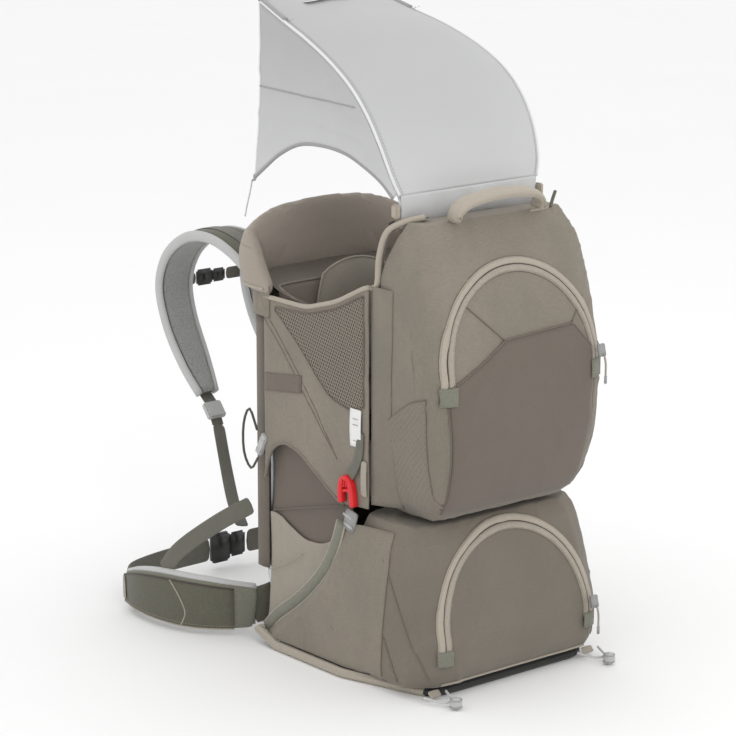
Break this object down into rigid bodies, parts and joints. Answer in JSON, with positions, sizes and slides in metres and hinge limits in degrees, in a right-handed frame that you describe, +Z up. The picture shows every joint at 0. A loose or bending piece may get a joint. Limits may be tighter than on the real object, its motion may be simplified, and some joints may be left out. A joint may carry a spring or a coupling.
{
  "type": "baby carrier backpack",
  "caption": "Framed child carrier backpack with padded collar, sunshade, fold-out base, two zipped pack compartments, shoulder harness and hip belt.",
  "frame": {"origin": "centre of the flat underside of the base board", "axes": "+Z up, +Y towards the wearer (harness side), +X the wearer's right"},
  "size_m": [0.4992, 0.7335, 0.8955],
  "materials": {
    "main_fabric": "woven nylon, taupe",
    "olive_fabric": "woven nylon, dark olive grey",
    "light_trim": "padded knit and tape, light taupe",
    "seat_fabric": "brushed polyester, light taupe",
    "mesh_fabric": "spacer mesh, light grey",
    "hood_fabric": "thin coated polyester, light grey",
    "webbing": "flat woven webbing, olive grey",
    "grey_plastic": "moulded acetal, mid grey",
    "black_plastic": "moulded nylon, black",
    "red_plastic": "moulded acetal, red",
    "frame_alloy": "drawn tube",
    "board_plastic": "stiff sheet, dark grey",
    "label_cloth": "printed satin tag, left blank",
    "cord": "braided cord and moulded lock, light grey"
  },
  "bodies": {
    "carrier_frame": {"back_frame_tube": "frame_alloy", "back_board": "board_plastic", "back_mesh_pad": "mesh_fabric", "lumbar_pad": "olive_fabric", "collar_pad": "light_trim", "side_panel_left": "main_fabric", "side_panel_right": "main_fabric", "seat_flap_left": "seat_fabric", "seat_flap_right": "seat_fabric", "side_label": "label_cloth", "cinch_buckle_left": "grey_plastic", "cinch_buckle_right": "grey_plastic", "cinch_loop_left": "webbing", "cinch_loop_right": "webbing", "hip_lift_strap_left": "olive_fabric", "hip_lift_strap_right": "olive_fabric", "strap_webbing_left": "webbing", "strap_webbing_right": "webbing"},
    "base": {"base_hoop": "frame_alloy", "base_board": "board_plastic", "lower_bag": "main_fabric", "lower_zip_track": "light_trim", "gear_cord_left": "cord", "gear_cord_right": "cord", "cord_ball_left": "cord", "cord_ball_right": "cord"},
    "lower_slider": {"lower_zip_slider": "grey_plastic"},
    "seat_arms": {"seat_arm_left": "light_trim", "seat_arm_right": "light_trim"},
    "red_hook_left": {"red_hook_left": "red_plastic"},
    "red_hook_right": {"red_hook_right": "red_plastic"},
    "rear_pack": {"upper_bag": "main_fabric", "upper_zip_track": "light_trim", "pole_socket_left": "black_plastic", "pole_socket_right": "black_plastic"},
    "upper_slider": {"upper_zip_slider": "grey_plastic"},
    "handle": {"grab_handle": "light_trim"},
    "sunshade": {"hood_crown": "hood_fabric", "hood_drop_left": "hood_fabric", "hood_drop_right": "hood_fabric", "hood_pole_left": "frame_alloy", "hood_pole_right": "frame_alloy", "hood_guy_cord_left": "cord", "hood_guy_cord_right": "cord"},
    "seat": {"seat_pad": "seat_fabric"},
    "harness": {"yoke_pad": "olive_fabric", "shoulder_strap_left": "mesh_fabric", "shoulder_strap_right": "mesh_fabric", "strap_ladder_lock_left": "grey_plastic", "strap_ladder_lock_right": "grey_plastic"},
    "sternum_left": {"sternum_strap_left": "webbing", "sternum_buckle_left": "grey_plastic"},
    "sternum_right": {"sternum_strap_right": "webbing", "sternum_buckle_right": "grey_plastic"},
    "hip_left": {"hip_wing_left": "olive_fabric", "hip_webbing_left": "webbing", "hip_buckle_left": "grey_plastic"},
    "hip_right": {"hip_wing_right": "olive_fabric"},
    "hip_clip": {"hip_webbing_right": "webbing", "hip_buckle_right": "grey_plastic"}
  },
  "joints": [
    {"name": "base_fold", "type": "hinge", "parent": "carrier_frame", "child": "base", "pos_m": [0, 0.175, 0.02], "axis": [-1, 0, 0], "range_deg": [0, 68], "deforming": ["lower_bag", "lower_zip_track", "side_panel_left", "side_panel_right", "seat_flap_left", "seat_flap_right", "seat_pad", "upper_bag"]},
    {"name": "seat_arm_fold", "type": "hinge", "parent": "carrier_frame", "child": "seat_arms", "pos_m": [0, 0.175, 0.02], "axis": [-1, 0, 0], "range_deg": [0, 37.5]},
    {"name": "red_hook_left_release", "type": "slide", "parent": "carrier_frame", "child": "red_hook_left", "axis": [0, 0, 1], "range_m": [0, 0.015]},
    {"name": "red_hook_right_release", "type": "slide", "parent": "carrier_frame", "child": "red_hook_right", "axis": [0, 0, 1], "range_m": [0, 0.015]},
    {"name": "pack_collapse", "type": "slide", "parent": "carrier_frame", "child": "rear_pack", "axis": [0, 1, 0], "range_m": [0, 0.085], "deforming": ["side_panel_left", "side_panel_right"]},
    {"name": "upper_zip_travel", "type": "hinge", "parent": "rear_pack", "child": "upper_slider", "pos_m": [0, -0.17484, 0.44], "axis": [0, -0.9684, 0.2493], "range_deg": [0, 170]},
    {"name": "lower_zip_travel", "type": "hinge", "parent": "base", "child": "lower_slider", "pos_m": [0, -0.17027, 0.084], "axis": [0, -0.9649, 0.2626], "range_deg": [0, 170]},
    {"name": "handle_swing", "type": "hinge", "parent": "rear_pack", "child": "handle", "pos_m": [0, -0.118, 0.636], "axis": [1, 0, 0], "range_deg": [0, 70]},
    {"name": "sunshade_tilt", "type": "hinge", "parent": "rear_pack", "child": "sunshade", "pos_m": [0, -0.062, 0.645], "axis": [1, 0, 0], "range_deg": [0, 50]},
    {"name": "seat_height", "type": "slide", "parent": "carrier_frame", "child": "seat", "axis": [0, 0, 1], "range_m": [0, 0.05]},
    {"name": "torso_adjust", "type": "slide", "parent": "carrier_frame", "child": "harness", "axis": [0, 0, 1], "range_m": [-0.04, 0], "deforming": ["strap_webbing_left", "strap_webbing_right"]},
    {"name": "sternum_height", "type": "slide", "parent": "harness", "child": "sternum_left", "axis": [0, 0, 1], "range_m": [-0.02, 0.02]},
    {"name": "sternum_buckle_release", "type": "slide", "parent": "sternum_left", "child": "sternum_right", "axis": [1, 0, 0], "range_m": [0, 0.03]},
    {"name": "hip_wing_left_swing", "type": "hinge", "parent": "carrier_frame", "child": "hip_left", "pos_m": [-0.15, 0.216, 0.036], "axis": [0, 0, 1], "range_deg": [0, 40]},
    {"name": "hip_wing_right_swing", "type": "hinge", "parent": "carrier_frame", "child": "hip_right", "pos_m": [0.15, 0.216, 0.036], "axis": [0, 0, -1], "range_deg": [0, 40]},
    {"name": "hip_buckle_release", "type": "slide", "parent": "hip_right", "child": "hip_clip", "axis": [1, 0, 0], "range_m": [0, 0.03]}
  ],
  "couplings": [
    {"joint": "seat_arm_fold", "follows": "base_fold", "ratio": 0.55}
  ]
}
